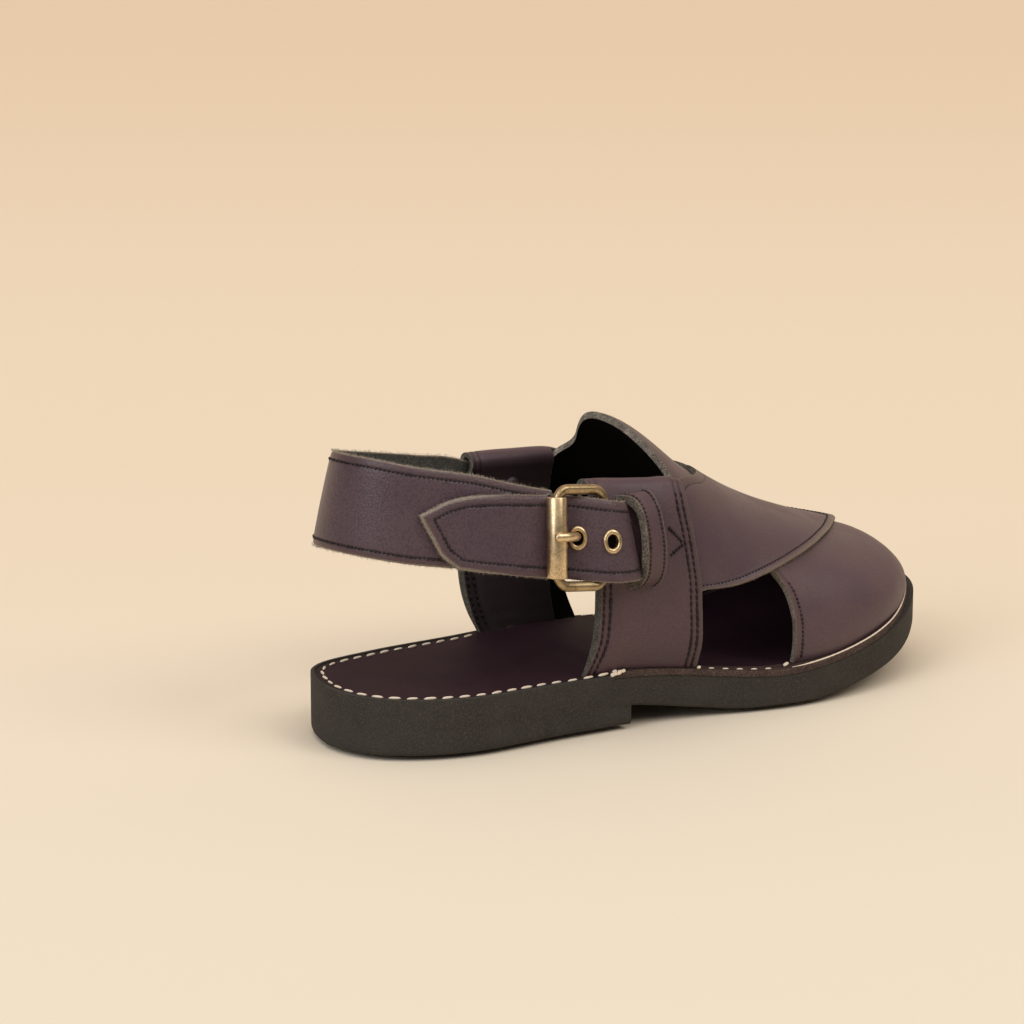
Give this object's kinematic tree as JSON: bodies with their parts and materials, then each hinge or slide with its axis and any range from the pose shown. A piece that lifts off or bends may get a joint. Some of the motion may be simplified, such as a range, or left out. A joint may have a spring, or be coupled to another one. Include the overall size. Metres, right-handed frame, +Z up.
{
  "type": "peshawari chappal",
  "caption": "Leather peshawari chappal with a closed toe, open side windows, crossed vamp overlay, side straps and a heel strap that closes with a roller buckle on a stitched foam rubber sole.",
  "frame": {"origin": "middle of the shoe's outline at floor level, under the sole", "axes": "+X towards the toe, +Y towards the inner side of the foot, +Z up; the buckle is on the -Y side"},
  "size_m": [0.2804, 0.1126, 0.1175],
  "materials": {
    "sole_rubber": "matte foam rubber",
    "welt_leather": "raw brown edge with cream thread",
    "insole_leather": "smooth, worn to a low sheen",
    "upper_leather": "matte plum leather with a black lining",
    "strap_leather": "pebbled plum leather with dark stitching",
    "antique_brass": "antique brass, mottled"
  },
  "bodies": {
    "root": {"outsole": "sole_rubber", "heel_lift": "sole_rubber", "welt": "welt_leather", "insole": "insole_leather", "upper": "upper_leather", "vamp_overlay": "upper_leather", "side_strap_lateral": "strap_leather", "side_strap_medial": "strap_leather", "heel_strap": "strap_leather", "buckle_strap": "strap_leather", "keeper_loop": "strap_leather", "buckle_chape": "strap_leather", "buckle_frame": "antique_brass", "buckle_roller": "antique_brass", "buckle_prong": "antique_brass", "eyelet_front": "antique_brass", "eyelet_rear": "antique_brass"}
  },
  "joints": []
}
